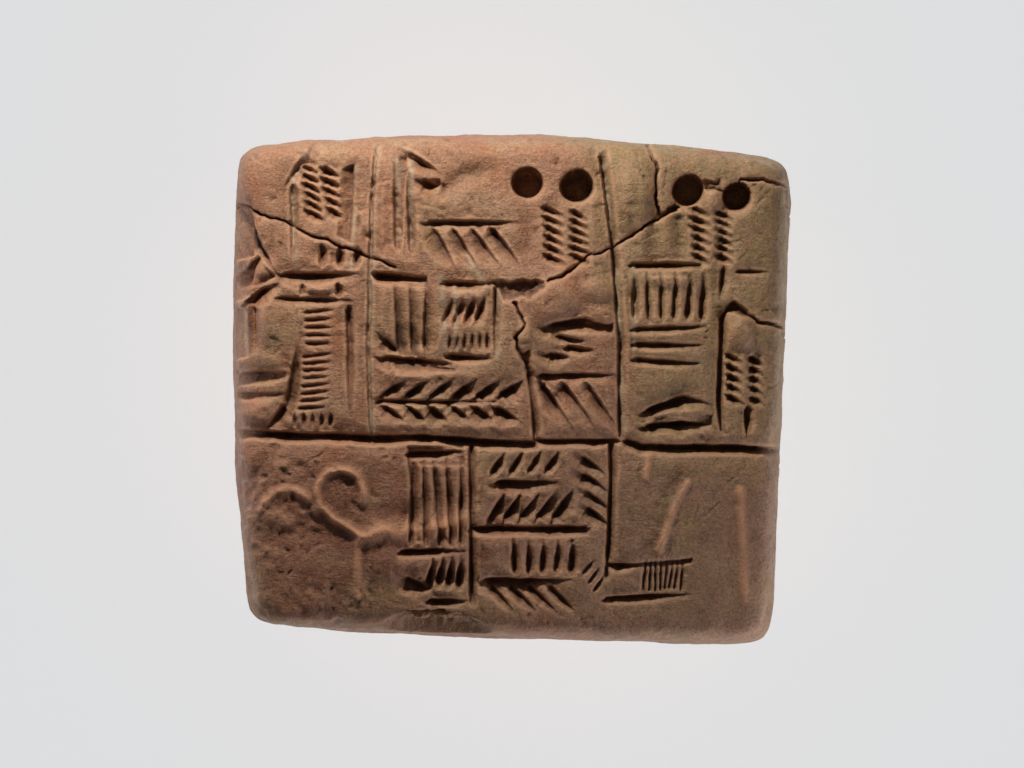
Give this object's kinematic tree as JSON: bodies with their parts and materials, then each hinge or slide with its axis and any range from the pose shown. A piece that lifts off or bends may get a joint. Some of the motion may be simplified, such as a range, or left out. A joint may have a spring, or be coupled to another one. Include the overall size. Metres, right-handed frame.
{
  "type": "cuneiform tablet",
  "caption": "Small thick clay accounting tablet lying on its back, with ruled cases, rows of pressed strokes, deep round marks, worn relief and rejoined breaks.",
  "frame": {"origin": "under the middle of the tablet, on the surface that it lies on", "axes": "+Z out of the written face, +X along the longest side to the right of the written face, +Y towards the top of the written face"},
  "size_m": [0.06, 0.0548, 0.0416],
  "materials": {
    "clay": "matt fine clay, terracotta brown with olive and reddish patches"
  },
  "bodies": {
    "root": {"tablet": "clay"}
  },
  "joints": []
}
